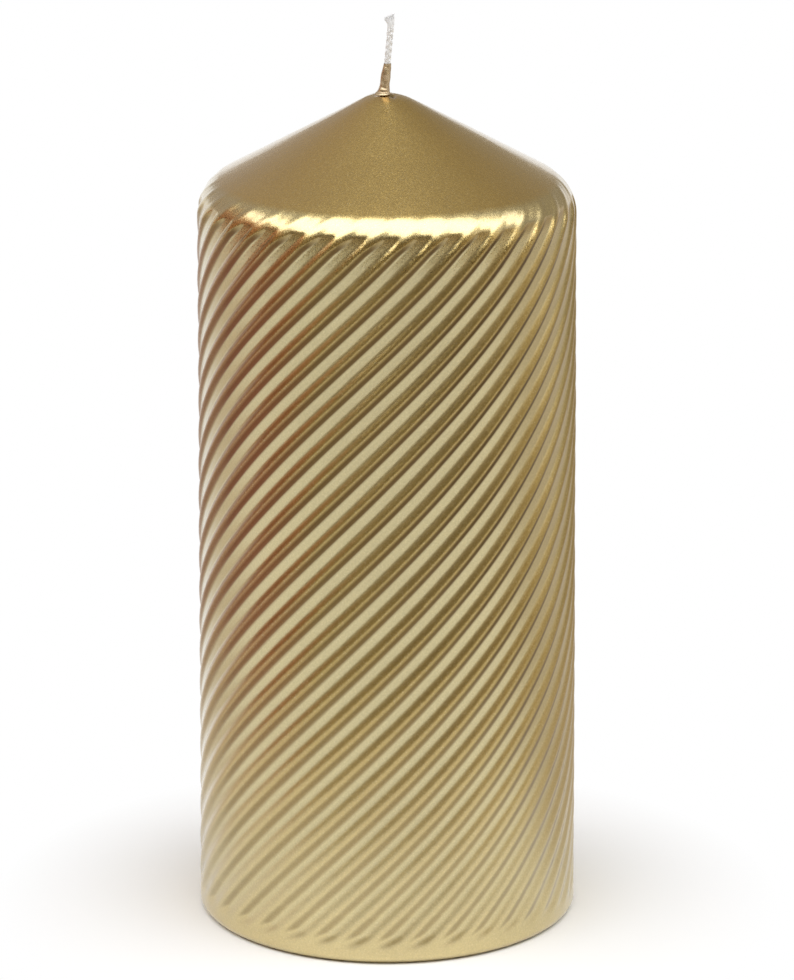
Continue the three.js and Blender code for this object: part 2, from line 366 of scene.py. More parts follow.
def make_skin(body):
    """The ribbed skin. Each row of the section is a ring whose columns turn with the height by 2 pi z / lead,
    and a little more near the top, so that a column stays on the same part of a rib.

    Along the surface's normal a ring is cut by depth * soft(share - relief). relief is a raised cosine of the
    phase, 1 on the crest and 0 on the groove's floor, and wider near the foot. depth grows from the foot up,
    and again on the shoulder. share is 1 on the wall. On the shoulder it falls with the surface's own fall
    r (1 - cos(s / r)), so the floor goes on nearly upright, and then to 0 over a short ramp. soft(x) is
    (x + sqrt(x^2 + k^2)) / 2, so a groove narrows to a round end. At the foot the whole cut fades away.

    Slow sine waves of some hundredths of a mm make the dipped surface uneven, a shallow trace of each groove
    goes on past its end, and a moat and a small pit lie beside the wick."""
    outline = Outline(body)
    section, outer_rows = skin_outline(body, outline)
    columns = body.rib_count * COLUMNS_PER_RIB
    radius, height, facing = (section[:, [k]] for k in range(3))
    outer = np.arange(len(section))[:, None] < outer_rows

    phase = 2 * math.pi * np.arange(columns)[None, :] * body.rib_count / columns
    turn = 2 * math.pi * height * MM / body.rib_lead + body.rib_start - math.pi / 2
    turn = turn + body.top_turn * smooth(height, *TURN_FROM_TO)
    round_angle = turn + phase / body.rib_count

    from_crest = np.abs((phase + math.pi) % (2 * math.pi) - math.pi)
    rounder = 1 - smooth(height, *ROUND_FROM_TO)
    rib_share = body.rib_share + (ROUND_RIB_SHARE - body.rib_share) * rounder
    relief = (1 + np.cos(np.clip(from_crest / rib_share, 0, math.pi))) / 2

    on_shoulder = np.where(height > outline.shoulder[1], outline.rounding * (facing - outline.tilt), 0)
    fall = outline.rounding * (1 - np.cos(on_shoulder / outline.rounding))
    depth = body.foot_depth + (body.rib_depth - body.foot_depth) * smooth(height, *DEEPEN_FROM_TO)
    eased = EASED_DEPTH * smooth(height, *EASE_FROM_TO)
    depth = depth / MM * (1 - eased + SHOULDER_DEPTH * smooth(height, *SHOULDER_DEEPEN_FROM_TO))

    run_in, foot = body.groove_run_in / MM, body.groove_foot / MM
    run_out, end = body.groove_run_out / MM, body.groove_end / MM
    share_foot = smooth(height, foot, foot + run_in)
    share_top = 1 - body.floor_upright * fall / depth
    share_top = np.maximum(share_top, 0) * (1 - smooth(on_shoulder, end - run_out, end))
    cut_share = np.where(outer, share_foot * share_top, 0)
    over = share_top - relief
    soft = (over + np.sqrt(over**2 + GROOVE_BLEND**2)) / 2
    fade = smooth(cut_share, 0, GROOVE_BLEND)
    trace = 1 - smooth(on_shoulder, end - 0.5, end + 3.0)
    trace = TRACE_DEPTH * trace * (1 - relief) * (height > outline.wall_height / 2)
    cut = depth * np.maximum(soft * fade * share_foot, trace * outer)

    wave = ripple(
        (0.020, 3 * round_angle + 0.11 * height + 0.4),
        (0.014, 7 * round_angle - 0.17 * height + 2.1),
        (0.008, 13 * round_angle + 0.41 * height + 4.0),
        (0.006, 5 * round_angle - 0.83 * height + 1.3),
    )
    cut = cut + np.where(outer, UNEVEN_DEPTH + wave, 0) * smooth(height, 0, 3)

    on_tip = outer & (height > outline.tip_centre)
    cut = cut + on_tip * MOAT_DEPTH * np.exp(-(((radius - MOAT_RADIUS) / MOAT_WIDTH) ** 2))
    pit_x = radius * np.cos(round_angle) - PIT_X
    pit_y = (radius * np.sin(round_angle) - PIT_Y) / PIT_STRETCH
    pit = on_tip * np.exp(-((np.hypot(pit_x, pit_y) / PIT_WIDTH) ** 2))
    cut = cut + PIT_DEPTH * pit

    ring = radius - cut * np.cos(facing)
    up = height - cut * np.sin(facing)
    near_tip = 1 - smooth(radius, 2.0, 6.0)
    x = ring * np.cos(round_angle) + near_tip * body.wick_offset / MM
    points = np.stack([x, ring * np.sin(round_angle), up * np.ones_like(round_angle)], -1)

    # How far the surface faces down: it sets the painted shade on the ribs' flanks that face down.
    across = np.roll(points, -1, axis=1) - np.roll(points, 1, axis=1)
    along = np.roll(points, -1, axis=0) - np.roll(points, 1, axis=0)
    normal = np.cross(across, along)
    outward = normal[..., 0] * np.cos(round_angle) + normal[..., 1] * np.sin(round_angle)
    down = outward * np.sin(facing) - normal[..., 2] * np.cos(facing)
    down = down / np.linalg.norm(normal, axis=-1)
    on_ribs = outer * smooth(height, foot - 0.5, foot + 1.0) * (1 - 0.55 * smooth(on_shoulder, 1, 3))
    return mesh_object(
        "ribbed_skin",
        points.reshape(-1, 3),
        grid_faces(len(section), columns, loop_rows=True).tolist(),
        {
            # Painted shade: brown where a rib's flank faces down.
            "painted_shade_down": smooth(down * body.rib_depth / MM / depth, 0.04, 0.32) * on_ribs,
            # Groove mask, which also places the painted reflection of the pale floor.
            "groove": (1 - relief) * cut_share,
            # Rib mask, which also places the darker ribs: partly thin lacquer, partly painted shade.
            "rib": smooth(relief, 0.05, 0.5) * cut_share,
            # Pit mask, which also places the painted shade in the pit.
            "pit": pit,
        },
    )


# Materials

NOISE_RANGE = (0.3, 0.7)

# Masks of the lacquer by height or by side, most of them for painted light: from and to in metres, and the
# mask's values there
# Painted shade on the flanks that face down: halved at the foot, and less at the far left.
LESS_PAINTED_SHADE_AT_FOOT = (0.012, 0.080, 0.5, 1.0)
LESS_PAINTED_SHADE_FAR_LEFT = (-0.0335, -0.0275, 0.35, 1.0)
# Painted reflection of the pale floor at the foot.
PAINTED_REFLECTION_AT_FOOT = (0.012, 0.070, 0.85, 0.0)
# Painted highlight on the shoulder's edge, from its start to its end.
PAINTED_HIGHLIGHT_START = (0.1300, 0.1312, 0.0, 1.0)
PAINTED_HIGHLIGHT_END = (0.1337, 0.1345, 0.65, 0.0)
# Darker ribs above the foot: partly thin lacquer, partly painted shade.
DARKER_RIBS_ABOVE_FOOT = (0.015, 0.060, 0.0, 1.0)
# Painted red reflection on the left, above the foot and below the shoulder.
RED_REFLECTION_SIDE = (-0.022, -0.012, 1.0, 0.0)
RED_REFLECTION_ABOVE_FOOT = (0.020, 0.060, 0.0, 1.0)
RED_REFLECTION_BELOW_SHOULDER = (0.124, 0.130, 1.0, 0.1)
ROUGHER_WALL = (0.122, 0.130, 0.05, 0.0)


class Shader:
    """A material's node tree, with short calls to add and link nodes."""

    def __init__(self, name):
        self.material = bpy.data.materials.new(name)
        self.material.use_nodes = True
        self.tree = self.material.node_tree
        self.surface = self.tree.nodes["Principled BSDF"]

    def node(self, kind, **inputs):
        """A node with values or links on its sockets, by name or as i and a number. Names in capitals are the
        node's own settings."""
        made = self.tree.nodes.new(kind)
        for key, value in inputs.items():
            if key.isupper():
                setattr(made, key.lower(), value)
                continue
            by_number = key[0] == "i" and key[1:].isdigit()
            self.put(made.inputs[int(key[1:]) if by_number else key.replace("_", " ")], value)
        return made

    def put(self, socket, value):
        """Links an output to a socket, or sets the socket's value."""
        if isinstance(value, bpy.types.NodeSocket):
            self.tree.links.new(value, socket)
        elif socket.type == "RGBA" and len(value) == 3:
            socket.default_value = (*value, 1)
        else:
            socket.default_value = value

    def set(self, **values):
        """Values or links on the Principled shader."""
        for key, value in values.items():
            self.put(self.surface.inputs[key.replace("_", " ")], value)

    def attribute(self, name):
        """The value of a point attribute."""
        made = self.node("ShaderNodeAttribute")
        made.attribute_name = name
        return made.outputs["Fac"]

    def place(self):
        """Object coordinates."""
        return self.node("ShaderNodeTexCoord").outputs["Object"]

    def axes(self, vector):
        """The three parts of a vector, as the outputs X, Y and Z."""
        return self.node("ShaderNodeSeparateXYZ", Vector=vector).outputs

    def stretched(self, vector, scale):
        """A vector whose parts are multiplied by a scale each."""
        return self.node("ShaderNodeMapping", Vector=vector, Scale=scale).outputs[0]

    def noise(self, scale, detail=2.0, vector=None):
        """Noise from 0 to 1 at a scale per metre."""
        made = self.node("ShaderNodeTexNoise", Vector=vector or self.place(), Scale=scale, Detail=detail)
        return made.outputs["Fac"]

    def cells(self, scale, vector):
        """A Voronoi pattern: a random colour for each cell, and the distance from the cell's centre."""
        made = self.node("ShaderNodeTexVoronoi", Vector=vector, Scale=scale)
        return made.outputs["Color"], made.outputs["Distance"]

    def chance(self, cell_colour):
        """A random value for each cell, from its colour."""
        return self.node("ShaderNodeSeparateColor", Color=cell_colour).outputs[0]

    def remap(self, value, low, high, to_low=0.0, to_high=1.0):
        """A linear map of a value, held inside its ends."""
        made = self.node(
            "ShaderNodeMapRange", Value=value, From_Min=low, From_Max=high, To_Min=to_low, To_Max=to_high
        )
        return made.outputs["Result"]

    def math(self, operation, a, b):
        """Arithmetic on two values."""
        return self.node("ShaderNodeMath", OPERATION=operation, i0=a, i1=b).outputs[0]

    def both(self, *values):
        """The product of values."""
        product = values[0]
        for value in values[1:]:
            product = self.math("MULTIPLY", product, value)
        return product

    def vector(self, operation, a, b=(0, 0, 0)):
        """Arithmetic on two vectors."""
        return self.node("ShaderNodeVectorMath", OPERATION=operation, i0=a, i1=b).outputs[0]

    def mix(self, factor, a, b, blend="MIX"):
        """A mix of two colours."""
        made = self.tree.nodes.new("ShaderNodeMix")
        made.data_type = "RGBA"
        made.blend_type = blend
        self.put(made.inputs[0], factor)
        self.put(made.inputs[6], a)
        self.put(made.inputs[7], b)
        return made.outputs[2]

    def bump(self, height, strength, distance, normal=None):
        """A bump from a height, with its distance in metres."""
        made = self.node("ShaderNodeBump", Height=height, Strength=strength, Distance=distance)
        if normal is not None:
            self.put(made.inputs["Normal"], normal)
        return made.outputs["Normal"]


def lacquer_material(finish):
    """Metallic lacquer over dipped wax, with a fine bright flake and a clear layer. Painted shade makes the
    flanks that face down brown, most of all high on the wall, and darkens the pit beside the wick. The ribs
    are darker gold, partly thin lacquer where it ran thin on the crests and partly painted shade. A painted
    red reflection makes both redder on the left. A painted reflection of the pale floor makes it pale in the
    grooves and at the foot, and a painted highlight makes it pale on the shoulder."""
    m = Shader("metallic_lacquer")
    place = m.place()
    axes = m.axes(place)
    side, height = axes["X"], axes["Z"]
    flake_colour, _ = m.cells(6800, place)
    grain = m.noise(3200, 2, place)
    cloud = m.noise(60, 3, place)

    far_left = m.remap(side, *LESS_PAINTED_SHADE_FAR_LEFT)
    # Painted shade on the flanks that face down, halved at the foot and less at the far left.
    painted_shade = m.both(m.attribute("painted_shade_down"), m.remap(height, *LESS_PAINTED_SHADE_AT_FOOT), far_left)
    # Painted highlight: a pale band on the shoulder's edge.
    painted_highlight = m.both(m.remap(height, *PAINTED_HIGHLIGHT_START), m.remap(height, *PAINTED_HIGHLIGHT_END))
    # Pale: painted reflection of the pale floor in the grooves and at the foot, and the painted highlight on
    # the shoulder.
    pale = m.math("MAXIMUM", m.attribute("groove"), m.remap(height, *PAINTED_REFLECTION_AT_FOOT))
    pale = m.math("MAXIMUM", pale, painted_highlight)
    # Darker ribs above the foot: partly thin lacquer, partly painted shade.
    thin = m.both(m.attribute("rib"), m.remap(height, *DARKER_RIBS_ABOVE_FOOT))
    # Painted red reflection on the left, above the foot and below the shoulder.
    red_reflection = m.both(m.remap(side, *RED_REFLECTION_SIDE), m.remap(height, *RED_REFLECTION_ABOVE_FOOT))
    red_reflection = m.both(red_reflection, m.remap(height, *RED_REFLECTION_BELOW_SHOULDER))

    # Painted reflection and highlight: pale gold where the pale mask is high.
    base = m.mix(pale, finish.gold, finish.painted_pale_gold)
    # Darker gold on the ribs, partly thin lacquer and partly painted shade; redder on the left as a painted
    # red reflection.
    base = m.mix(thin, base, m.mix(red_reflection, finish.deep_gold, finish.red_reflection_gold))
    base = m.mix(m.remap(m.chance(flake_colour), 0.86, 1.0, 0, 0.3), base, finish.flake)
    # Painted shade: brown on the flanks that face down, redder on the left as a painted red reflection.
    base = m.mix(painted_shade, base, m.mix(red_reflection, finish.brown, finish.red_reflection))
    base = m.mix(m.remap(cloud, *NOISE_RANGE, 0, 0.08), base, finish.brown)
    # Painted shade: the pit beside the wick is darkened with brown.
    base = m.mix(m.both(m.attribute("pit"), 0.8), base, finish.brown)
    level = m.remap(grain, *NOISE_RANGE, 0.92, 1.06)
    grey = m.node("ShaderNodeCombineColor", Red=level, Green=level, Blue=level).outputs[0]
    base = m.mix(1.0, base, grey, "MULTIPLY")

    rough = m.remap(grain, *NOISE_RANGE, finish.roughness - 0.03, finish.roughness + 0.04)
    rough = m.math("ADD", rough, m.remap(height, *ROUGHER_WALL))
    normal = m.bump(m.noise(700, 2, place), 0.2, 0.02 * MM)
    leaning = m.vector("SUBTRACT", flake_colour, (0.5, 0.5, 0.5))
    spread = m.remap(thin, 0, 1, 0.07, 0.14)
    leaning = m.node("ShaderNodeVectorMath", OPERATION="SCALE", i0=leaning, Scale=spread).outputs[0]
    normal = m.vector("NORMALIZE", m.vector("ADD", normal, leaning))
    m.set(Base_Color=base, Metallic=1.0, Roughness=rough, Normal=normal)
    coat = m.remap(thin, 0, 1, finish.coat, 0.35 * finish.coat)
    coat = m.both(coat, m.remap(painted_shade, 0, 1, 1, 0.5))
    m.set(Coat_Weight=coat, Coat_Roughness=0.14, Coat_IOR=1.5)
    return m.material


def wax_material():
    """Pressed wax: pale, with grains of about 2 mm and a little light passing under the surface."""
    m = Shader("pressed_wax")
    place = m.place()
    grain_colour, from_centre = m.cells(480, place)
    cloud = m.noise(90, 3, place)
    tint = m.mix(m.remap(cloud, *NOISE_RANGE), (0.84, 0.79, 0.66), (0.90, 0.87, 0.77))
    tint = m.mix(m.remap(m.chance(grain_colour), 0, 1, 0, 0.25), tint, (0.74, 0.68, 0.54))
    seam = m.remap(from_centre, 0.0, 0.6, 0, 1)
    normal = m.bump(seam, 0.3, 0.15 * MM, m.bump(m.noise(2200, 3, place), 0.3, 0.03 * MM))
    m.set(Base_Color=tint, Roughness=m.remap(cloud, *NOISE_RANGE, 0.42, 0.6), Normal=normal)
    m.set(Subsurface_Weight=0.25, Subsurface_Radius=(0.004, 0.003, 0.002), Subsurface_Scale=1.0)
    return m.material


def cotton_material(wick):
    """Bleached cotton yarn: off-white fibres along the yarn with fuzz and slight shade between them."""
    m = Shader("cotton_yarn")
    fibre = m.noise(9000, 3, m.stretched(m.place(), (1, 1, 0.18)))
    tint = m.mix(m.remap(fibre, *NOISE_RANGE), tuple(0.95 * c for c in wick.cotton), wick.cotton)
    m.set(Base_Color=tint, Roughness=0.95, Normal=m.bump(fibre, 0.2, 0.012 * MM))
    m.set(Sheen_Weight=0.3, Sheen_Roughness=0.5)
    return m.material


def collar_material(wick):
    """Thick glossy lacquer on the wick: brown gold with small brighter runs."""
    m = Shader("collar_lacquer")
    place = m.place()
    runs = m.noise(1800, 2, m.stretched(place, (1, 1, 0.4)))
    tint = m.mix(m.remap(runs, 0.25, 0.80), wick.lacquer, (0.62, 0.50, 0.31))
    m.set(Base_Color=tint, Metallic=0.65, Roughness=m.remap(runs, *NOISE_RANGE, 0.24, 0.34))
    m.set(Normal=m.bump(m.noise(3500, 2, place), 0.15, 0.02 * MM), Coat_Weight=0.6, Coat_Roughness=0.08)
    return m.material


def steel_material():
    """Stamped tinned steel: fine streaks left by the press and slight cloudy tarnish."""
    m = Shader("tinned_steel")
    place = m.place()
    cloud = m.noise(260, 4, place)
    tint = m.mix(m.remap(cloud, 0.35, 0.7), (0.74, 0.74, 0.73), (0.60, 0.60, 0.60))
    scratch = m.noise(3000, 2, m.stretched(place, (1, 0.08, 1)))
    m.set(Base_Color=tint, Metallic=1.0, Roughness=m.remap(cloud, *NOISE_RANGE, 0.28, 0.42))
    m.set(Normal=m.bump(scratch, 0.2, 0.02 * MM))
    return m.material


def dress(obj, material):
    """Gives an object its material."""
    obj.data.materials.clear()
    obj.data.materials.append(material)


# Wick: shares of its radius, and lengths in mm

CORE_SHARE = 0.80
STRAND_SHARE = 0.66
STRAND_SWING = 0.30
STRAND_SWING_THROUGH = 0.20
STRAND_SIDES = 16
BRAID_PITCH = 3.6
YARNS = 5
YARN_LAY = 1.9
YARN_HEIGHT = 0.04
FINE_ROWS_BELOW_TIP = 4
BRAID_INTO_FRAY = 0.9

FIBRES = 60
FIBRE_SHARE = 0.17
GOLDEN_ANGLE = 2.39996
FRAY_SHIFT = 0.47
FRAY_SLANT = 0.38
FRAY_UNEVEN = 0.12

COLLAR_COLUMNS, COLLAR_ROWS = 64, 72
COLLAR_BELOW = 0.34

# Beads of the collar: size in mm, height as a share of the collar's, its width, direction and arc
BEADS = (
    (0.09, 0.86, 0.030, -1.95, 0.5),
    (0.08, 0.87, 0.028, -1.1, 0.35),
    (0.16, 0.17, 0.035, -2.3, 0.45),
    (0.13, 0.15, 0.035, -1.5, 0.4),
    (0.10, 0.36, 0.025, -1.0, 0.35),
    (0.07, 0.30, 0.030, -0.9, 0.3),
    (-0.14, 0.075, 0.022, -1.8, 1.3),
)


def wick_line(height, body, wick, outline):
    """Sideways place of the wick at a height: a parabola over the bend, then the slope of the lean."""
    rise = np.maximum(0, height - outline.tip)
    bend = wick.bend_length / MM
    in_bend = np.minimum(rise, bend)
    drift = in_bend**2 / (2 * bend) + (rise - in_bend)
    return body.wick_offset / MM + math.tan(wick.lean) * drift


def yarn_tube(path, radius, sides):
    """A tube of rings round a path (rows, 3) that mostly runs upwards. Each ring lies square to the path."""
    along = np.gradient(path, axis=0)
    along /= np.linalg.norm(along, axis=1, keepdims=True)
    across = np.cross(along, [0.0, 1.0, 0.0])
    across /= np.linalg.norm(across, axis=1, keepdims=True)
    other = np.cross(along, across)
    turn = 2 * math.pi * np.arange(sides) / sides
    ring = across[:, None, :] * np.cos(turn)[None, :, None] + other[:, None, :] * np.sin(turn)[None, :, None]
    reach = np.asarray(radius)
    reach = reach[..., None] if reach.ndim == 2 else reach[:, None, None]
    return path[:, None, :] + ring * reach


def add_tube(parts, path, radius, sides):
    """Adds a closed tube to a list of mesh parts."""
    first = sum(len(vertices) for vertices, _ in parts)
    parts.append(tube_mesh_parts(yarn_tube(path, radius, sides), first))


def join_parts(name, parts):
    """One object from a list of mesh parts."""
    faces = [face for _, part_faces in parts for face in part_faces]
    return mesh_object(name, np.vstack([vertices for vertices, _ in parts]), faces)


def make_wick(body, wick):
    """A braid of three strands round a core. A strand's centre swings by a sin t across and b sin 2t
    through, a third of a turn apart, and its section is a circle with five shallow lobes, its yarns, which
    turn as it rises. At the free end it opens into a flat fan of fibres, cut off at a slant."""
    outline = Outline(body)
    low, high = WICK_LOW.z / MM, WICK_HIGH.z / MM - 0.02
    fray_start = high - wick.fray_length / MM
    braid_end = fray_start + BRAID_INTO_FRAY
    fine_start = outline.tip - FINE_ROWS_BELOW_TIP
    reach = wick.radius / MM
    core_reach = CORE_SHARE * reach
    height = np.concatenate(
        [np.linspace(low, fine_start, 300)[:-1], np.linspace(fine_start, braid_end, 190)]
    )
    centre = wick_line(height, body, wick, outline)
    closing = 1 - 0.5 * smooth(height, fray_start, braid_end)
    parts = []
    add_tube(parts, np.stack([centre, 0 * centre, height], -1), core_reach * closing, 20)

    turn = 2 * math.pi * np.arange(STRAND_SIDES)[None, :] / STRAND_SIDES
    lobes = np.cos(YARNS * (turn - 2 * math.pi * height[:, None] / YARN_LAY / YARNS))
    lobes = 1 + YARN_HEIGHT * lobes
    for strand in range(3):
        t = 2 * math.pi * (height / BRAID_PITCH + strand / 3)
        across = centre + STRAND_SWING * reach * np.sin(t)
        through = STRAND_SWING_THROUGH * reach * np.sin(2 * t)
        radius = STRAND_SHARE * reach * lobes * closing[:, None]
        add_tube(parts, np.stack([across, through, height], -1), radius, STRAND_SIDES)

    level = np.linspace(fray_start - 0.8, high, 26)
    spread = smooth(level, fray_start, high) ** 1.2
    middle = wick_line(level, body, wick, outline)
    radius = FIBRE_SHARE * reach * (1 - 0.25 * spread)
    for fibre in range(FIBRES):
        start = core_reach * math.sqrt((fibre + 0.5) / FIBRES)
        across = start * math.cos(GOLDEN_ANGLE * fibre)
        through = start * math.sin(GOLDEN_ANGLE * fibre)
        fan = (wick.fray_radius / MM - FRAY_UNEVEN) * across / core_reach
        fan = fan + FRAY_UNEVEN * reach * math.sin(3.1 * fibre)
        x = middle + across + (fan - FRAY_SHIFT - across) * spread
        y = through * (1 - 0.3 * spread) + 0.15 * reach * math.sin(1.9 * fibre) * spread
        slant = FRAY_SLANT * (1 - across / core_reach)
        z = level - (slant + FRAY_UNEVEN * abs(math.sin(1.7 * fibre + 0.6))) * spread
        add_tube(parts, np.stack([x, y, z], -1), radius, 6)
    return join_parts("braided_wick", parts)


def make_collar(body, wick):
    """Lacquer sleeve: rings round the wick's line whose reach falls to a thin rim. The foot spreads over the
    cone, most to the left and the front. Beads are bumps of a Gaussian shape in height and angle, and the
    braid shows through as a shallow wave. A second wall closes the sleeve inside."""
    outline = Outline(body)
    low, high = COLLAR_LOW.z / MM - COLLAR_BELOW, COLLAR_HIGH.z / MM
    height = np.linspace(low, high, COLLAR_ROWS)[:, None]
    turn = 2 * math.pi * np.arange(COLLAR_COLUMNS)[None, :] / COLLAR_COLUMNS
    up = (height - low) / (high - low)
    reach = wick.radius / MM
    to_left = (1 - np.cos(turn)) / 2
    to_front = np.clip(-np.sin(turn), 0, 1)
    wall = 0.14 + 0.24 * to_left * (1 - smooth(up, 0.62, 0.86)) - 0.06 * smooth(up, 0.82, 0.95)
    foot = (0.16 + 0.75 * to_left**1.5 + 0.35 * to_front) * np.exp(-((up / 0.11) ** 1.3))
    bumps = 0
    for size, place, width, direction, arc in BEADS:
        around = np.angle(np.exp(1j * (turn - direction)))
        bumps = bumps + size * np.exp(-(((up - place) / width) ** 2) - (around / arc) ** 2)
    weave = 0.022 * np.sin(2 * turn + 3.4 * height) + 0.018 * np.sin(3 * turn - 2.3 * height)
    outer = reach + wall + foot + bumps + weave * (1 - 0.5 * up)
    outer = outer - 0.06 * smooth(up, 0.975, 1.0)
    inner = np.full_like(outer, reach + 0.03)
    centre = wick_line(height, body, wick, outline)
    line = np.vstack([centre, centre[::-1]])
    rings = np.vstack([outer, inner[::-1]])
    level = np.vstack([height, height[::-1]])
    drop = np.clip(rings - 1.0, 0, None) ** 2 / (2 * outline.tip_rounding)
    points = np.stack([line + rings * np.cos(turn), rings * np.sin(turn), level - drop], -1)
    faces = grid_faces(2 * COLLAR_ROWS, COLLAR_COLUMNS, loop_rows=True).tolist()
    return mesh_object("lacquer_collar", points.reshape(-1, 3), faces)


# Stage: places and sizes in metres, arcs in degrees round +Z

SHADOW_NEAR, SHADOW_FAR = 0.04, 0.11
BACKDROP_ARC = (-10, 190)
BACKDROP_HEIGHT = 0.5
ROOM_ARC = (148, 350)
ROOM_RADIUS, ROOM_HEIGHT = 2.1, 1.75
ROOM_DIMMER = 0.75
SCREEN_RADIUS, SCREEN_HEIGHT = 0.80, 0.20

OVERHEAD_PLACE = (0, -0.545, 1.30)
OVERHEAD_SIZE = (3.2, 1.11)

# The other softboxes: name, place, aim, width, depth and brightness
SOFTBOXES = (
    ("left_softbox", (-1.70, 0.20, 1.30), (-1.70, 0.20, 0), 0.9, 0.8, 2.4),
    ("high_softbox", (1.62, 0.15, 1.30), (1.62, 0.15, 0), 0.9, 0.8, 2.4),
    ("right_softbox", (1.16, -0.31, 0.50), (0, 0, 0.09), 0.5, 0.6, 0.6),
)


def stage_material(name, stage):
    """Matt pale surface that holds shadows near the candle and is plain white farther out, both to the eye
    and in what mirrors it. Gloss mirrors it shaded on both sides behind the candle, more on the right."""
    m = Shader(name)
    m.set(Base_Color=stage.floor_colour, Roughness=0.9)
    m.put(m.surface.inputs["Specular IOR Level"], 0.1)
    path = m.node("ShaderNodeLightPath").outputs
    mirrored = m.math("MAXIMUM", path["Is Transmission Ray"], path["Is Glossy Ray"])
    distance = m.node("ShaderNodeVectorMath", OPERATION="LENGTH", i0=m.place()).outputs["Value"]
    seen = m.both(path["Is Camera Ray"], m.remap(distance, SHADOW_NEAR - 4 * MM, 0.65 * SHADOW_FAR))
    factor = m.math("MAXIMUM", seen, m.both(mirrored, m.remap(distance, SHADOW_NEAR, SHADOW_FAR)))

    toward = m.axes(m.vector("NORMALIZE", m.place()))
    behind = m.math("ADD", toward["Y"], m.both(m.math("MINIMUM", toward["X"], 0.2), 0.25))
    behind = m.both(m.remap(behind, -0.30, 0.10), path["Is Glossy Ray"])
    straight = m.math("ADD", toward["Y"], m.both(toward["X"], -0.20))
    behind = m.both(behind, m.remap(straight, 0.65, 0.95, 1.0, 0.0))
    deeper = tuple(0.85 * value for value in stage.shade_colour)
    shade = m.mix(m.remap(toward["X"], 0.2, 0.7), stage.shade_colour, deeper)
    light = m.mix(behind, (1, 1, 1), shade)
    white = m.node("ShaderNodeEmission", Color=light, Strength=1.0).outputs[0]
    mixed = m.node("ShaderNodeMixShader", i0=factor, i1=m.surface.outputs[0], i2=white)
    output = next(node for node in m.tree.nodes if node.type == "OUTPUT_MATERIAL")
    m.tree.links.new(mixed.outputs[0], output.inputs["Surface"])
    return m.material


def make_floor(stage):
    """A flat round floor: rings of growing radius round the origin."""
    radius = np.array([0.2, 0.6, 1.4, stage.floor_radius])[:, None] / MM
    turn = -2 * math.pi * np.arange(64)[None, :] / 64
    rings = np.stack([radius * np.cos(turn), radius * np.sin(turn), 0 * radius * turn], -1)
    rows, columns = rings.shape[:2]
    vertices = np.vstack([rings.reshape(-1, 3), [[0, 0, 0]]])
    faces = [
        *grid_faces(rows, columns).tolist(),
        *fan_faces(np.arange(columns), rows * columns, flip=True).tolist(),
    ]
    return mesh_object("floor", vertices, faces)


def make_wall(name, radius, height, start, end):
    """A round upright wall about the origin that faces it, from a start to an end angle round +Z."""
    turn = np.radians(np.linspace(start, end, 49))[None, :]
    level = np.linspace(0, height, 4)[:, None]
    x, y = radius * np.cos(turn) + 0 * level, radius * np.sin(turn) + 0 * level
    points = np.stack([x, y, level + 0 * turn], -1)
    rows, columns = points.shape[:2]
    index = np.arange(rows * columns).reshape(rows, columns)
    faces = np.stack([index[:-1, 1:], index[:-1, :-1], index[1:, :-1], index[1:, 1:]], -1)
    return mesh_object(name, points.reshape(-1, 3) / MM, faces.reshape(-1, 4).tolist())


def wall_material(name, front, side):
    """Matt dark paint, a little uneven: one colour in front, lighter on the right, another on the left."""
    m = Shader(name)
    toward = m.axes(m.vector("NORMALIZE", m.place()))
    left = m.both(m.remap(toward["X"], -0.3, 0.0, 1, 0), m.remap(toward["Y"], -0.45, -0.05))
    lighter = tuple(1.5 * value for value in front)
    paint = m.mix(left, m.mix(m.remap(toward["X"], 0.4, 0.7), front, lighter), side)
    paint = m.mix(m.remap(m.noise(3), *NOISE_RANGE, 0, 0.1), paint, (0.2, 0.2, 0.2))
    m.set(Base_Color=paint, Roughness=0.9)
    return m.material


def make_room(stage):
    """Plain white light from all round, a little darker and warmer behind the candle, more on the right."""
    world = bpy.data.worlds.new("room")
    world.use_nodes = True
    nodes, links = world.node_tree.nodes, world.node_tree.links
    toward = nodes.new("ShaderNodeSeparateXYZ")
    links.new(nodes.new("ShaderNodeTexCoord").outputs["Generated"], toward.inputs[0])
    made = []
    for axis, low, high in (("X", -0.3, 0.3), ("Y", 0.2, 0.55)):
        way = nodes.new("ShaderNodeMapRange")
        way.inputs["From Min"].default_value, way.inputs["From Max"].default_value = low, high
        links.new(toward.outputs[axis], way.inputs["Value"])
        mixed = nodes.new("ShaderNodeMix")
        mixed.data_type = "RGBA"
        links.new(way.outputs["Result"], mixed.inputs[0])
        made.append(mixed)
    sides, whole = made
    sides.inputs[6].default_value = (*stage.back_left, 1)
    sides.inputs[7].default_value = (*stage.back_right, 1)
    whole.inputs[6].default_value = (1, 1, 1, 1)
    links.new(sides.outputs[2], whole.inputs[7])
    background = nodes["Background"]
    links.new(whole.outputs[2], background.inputs["Color"])
    background.inputs["Strength"].default_value = stage.room
    return world


def area_lamp(name, place, aim, width, depth, level):
    """A rectangular softbox of an even brightness: its power is brightness * pi * area."""
    data = bpy.data.lights.new(name, "AREA")
    data.shape = "RECTANGLE"
    data.size, data.size_y = width, depth
    data.energy = level * math.pi * width * depth
    lamp = bpy.data.objects.new(name, data)
    lamp.location = place
    lamp.rotation_euler = (Vector(aim) - Vector(place)).to_track_quat("-Z", "Y").to_euler()
    lamp.visible_camera = False
    bpy.context.scene.collection.objects.link(lamp)
    return lamp


